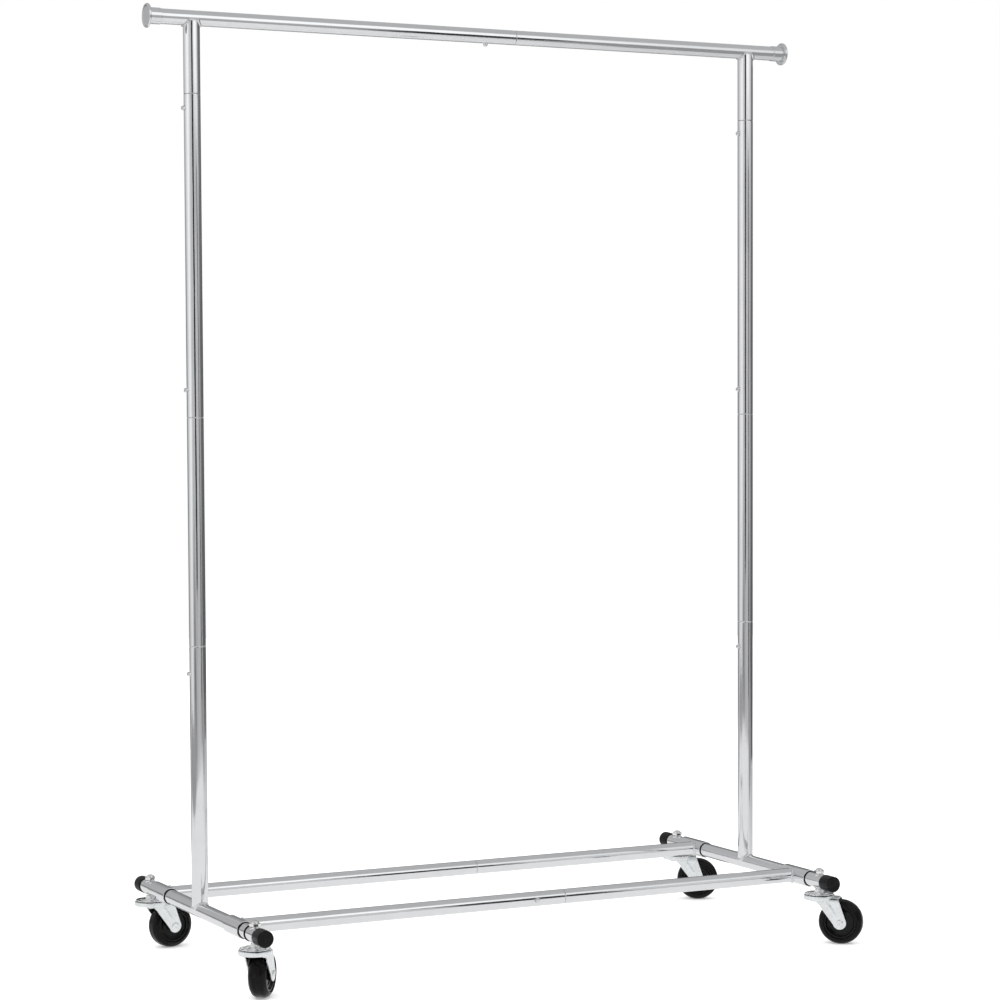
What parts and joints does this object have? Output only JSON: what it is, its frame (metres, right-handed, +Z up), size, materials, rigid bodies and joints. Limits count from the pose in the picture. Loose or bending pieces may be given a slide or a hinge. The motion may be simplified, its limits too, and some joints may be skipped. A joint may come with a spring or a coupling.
{
  "type": "rolling clothes rack",
  "caption": "Free-standing garment rack: a hanging bar on posts over a tubular base with swivel casters; tube sections join at necks held by spring snap buttons.",
  "frame": {"origin": "on the floor under the middle of the rack", "axes": "+X along the hanging bar, +Y to the rear, +Z up"},
  "size_m": [1.294, 0.6353, 1.699],
  "materials": {
    "tube_chrome": "bright polished chrome plate on steel tube",
    "end_chrome": "bright chrome plate",
    "weld_chrome": "chrome-plated weld bead",
    "zinc_plate": "clear zinc plate, satin",
    "bright_zinc": "bright zinc plate",
    "bearing_steel": "polished",
    "button_steel": "nickel plate, bright",
    "cap_plastic": "satin black moulded plastic",
    "black_nylon": "black nylon",
    "tyre_rubber": "smooth black rubber",
    "wheel_plastic": "glossy black moulded plastic"
  },
  "bodies": {
    "frame": {"side_tube_left": "tube_chrome", "side_tube_right": "tube_chrome", "lower_post_left": "tube_chrome", "lower_post_right": "tube_chrome", "middle_post_left": "tube_chrome", "middle_post_right": "tube_chrome", "upper_post_left": "tube_chrome", "upper_post_right": "tube_chrome", "top_tee_left": "tube_chrome", "top_tee_right": "tube_chrome", "hang_bar_left": "tube_chrome", "hang_bar_right": "tube_chrome", "bar_end_left": "end_chrome", "bar_end_right": "end_chrome", "front_rail_left": "tube_chrome", "front_rail_right": "tube_chrome", "rear_rail_left": "tube_chrome", "rear_rail_right": "tube_chrome", "sleeve_front_left": "tube_chrome", "sleeve_front_right": "tube_chrome", "sleeve_rear_left": "tube_chrome", "sleeve_rear_right": "tube_chrome", "sleeve_bushes": "black_nylon", "weld_beads": "weld_chrome", "tube_caps": "cap_plastic", "saddle_washers": "zinc_plate", "cap_nuts": "bright_zinc", "race_balls": "bearing_steel", "stem_front_left": "zinc_plate", "stem_front_right": "zinc_plate", "stem_rear_left": "zinc_plate", "stem_rear_right": "zinc_plate"},
    "caster_front_left": {"fork_front_left": "zinc_plate", "axle_front_left": "bright_zinc"},
    "caster_front_right": {"fork_front_right": "zinc_plate", "axle_front_right": "bright_zinc"},
    "caster_rear_left": {"fork_rear_left": "zinc_plate", "axle_rear_left": "bright_zinc"},
    "caster_rear_right": {"fork_rear_right": "zinc_plate", "axle_rear_right": "bright_zinc"},
    "wheel_front_left": {"tyre_front_left": "tyre_rubber", "wheel_core_front_left": "wheel_plastic"},
    "wheel_front_right": {"tyre_front_right": "tyre_rubber", "wheel_core_front_right": "wheel_plastic"},
    "wheel_rear_left": {"tyre_rear_left": "tyre_rubber", "wheel_core_rear_left": "wheel_plastic"},
    "wheel_rear_right": {"tyre_rear_right": "tyre_rubber", "wheel_core_rear_right": "wheel_plastic"},
    "button_bar": {"button_bar": "button_steel"},
    "button_front_rail": {"button_front_rail": "button_steel"},
    "button_rear_rail": {"button_rear_rail": "button_steel"},
    "button_lower_left": {"button_lower_left": "button_steel"},
    "button_lower_right": {"button_lower_right": "button_steel"},
    "button_middle_left": {"button_middle_left": "button_steel"},
    "button_middle_right": {"button_middle_right": "button_steel"},
    "button_upper_left": {"button_upper_left": "button_steel"},
    "button_upper_right": {"button_upper_right": "button_steel"}
  },
  "joints": [
    {"name": "swivel_front_left", "type": "hinge", "parent": "frame", "child": "caster_front_left", "pos_m": [-0.5635, -0.262, 0.088], "axis": [0, 0, 1], "continuous": true},
    {"name": "spin_front_left", "type": "hinge", "parent": "caster_front_left", "child": "wheel_front_left", "pos_m": [-0.53826, -0.22969, 0.041], "axis": [0.788, -0.6157, 0], "continuous": true},
    {"name": "swivel_front_right", "type": "hinge", "parent": "frame", "child": "caster_front_right", "pos_m": [0.5635, -0.262, 0.088], "axis": [0, 0, 1], "continuous": true},
    {"name": "spin_front_right", "type": "hinge", "parent": "caster_front_right", "child": "wheel_front_right", "pos_m": [0.59397, -0.28943, 0.041], "axis": [-0.6691, -0.7431, 0], "continuous": true},
    {"name": "swivel_rear_left", "type": "hinge", "parent": "frame", "child": "caster_rear_left", "pos_m": [-0.5635, 0.262, 0.088], "axis": [0, 0, 1], "continuous": true},
    {"name": "spin_rear_left", "type": "hinge", "parent": "caster_rear_left", "child": "wheel_rear_left", "pos_m": [-0.52312, 0.26912, 0.041], "axis": [0.1736, -0.9848, 0], "continuous": true},
    {"name": "swivel_rear_right", "type": "hinge", "parent": "frame", "child": "caster_rear_right", "pos_m": [0.5635, 0.262, 0.088], "axis": [0, 0, 1], "continuous": true},
    {"name": "spin_rear_right", "type": "hinge", "parent": "caster_rear_right", "child": "wheel_rear_right", "pos_m": [0.5997, 0.24275, 0.041], "axis": [-0.4695, -0.8829, 0], "continuous": true},
    {"name": "press_bar", "type": "slide", "parent": "frame", "child": "button_bar", "axis": [0, 0, 1], "range_m": [0, 0.0072], "stiffness_N_per_m": 500, "springref_m": -0.004},
    {"name": "press_front_rail", "type": "slide", "parent": "frame", "child": "button_front_rail", "axis": [0, 1, 0], "range_m": [0, 0.0072], "stiffness_N_per_m": 500, "springref_m": -0.004},
    {"name": "press_rear_rail", "type": "slide", "parent": "frame", "child": "button_rear_rail", "axis": [0, -1, 0], "range_m": [0, 0.0072], "stiffness_N_per_m": 500, "springref_m": -0.004},
    {"name": "press_lower_left", "type": "slide", "parent": "frame", "child": "button_lower_left", "axis": [1, 0, 0], "range_m": [0, 0.0072], "stiffness_N_per_m": 500, "springref_m": -0.004},
    {"name": "press_lower_right", "type": "slide", "parent": "frame", "child": "button_lower_right", "axis": [1, 0, 0], "range_m": [0, 0.0072], "stiffness_N_per_m": 500, "springref_m": -0.004},
    {"name": "press_middle_left", "type": "slide", "parent": "frame", "child": "button_middle_left", "axis": [1, 0, 0], "range_m": [0, 0.0072], "stiffness_N_per_m": 500, "springref_m": -0.004},
    {"name": "press_middle_right", "type": "slide", "parent": "frame", "child": "button_middle_right", "axis": [1, 0, 0], "range_m": [0, 0.0072], "stiffness_N_per_m": 500, "springref_m": -0.004},
    {"name": "press_upper_left", "type": "slide", "parent": "frame", "child": "button_upper_left", "axis": [1, 0, 0], "range_m": [0, 0.0072], "stiffness_N_per_m": 500, "springref_m": -0.004},
    {"name": "press_upper_right", "type": "slide", "parent": "frame", "child": "button_upper_right", "axis": [1, 0, 0], "range_m": [0, 0.0072], "stiffness_N_per_m": 500, "springref_m": -0.004}
  ]
}
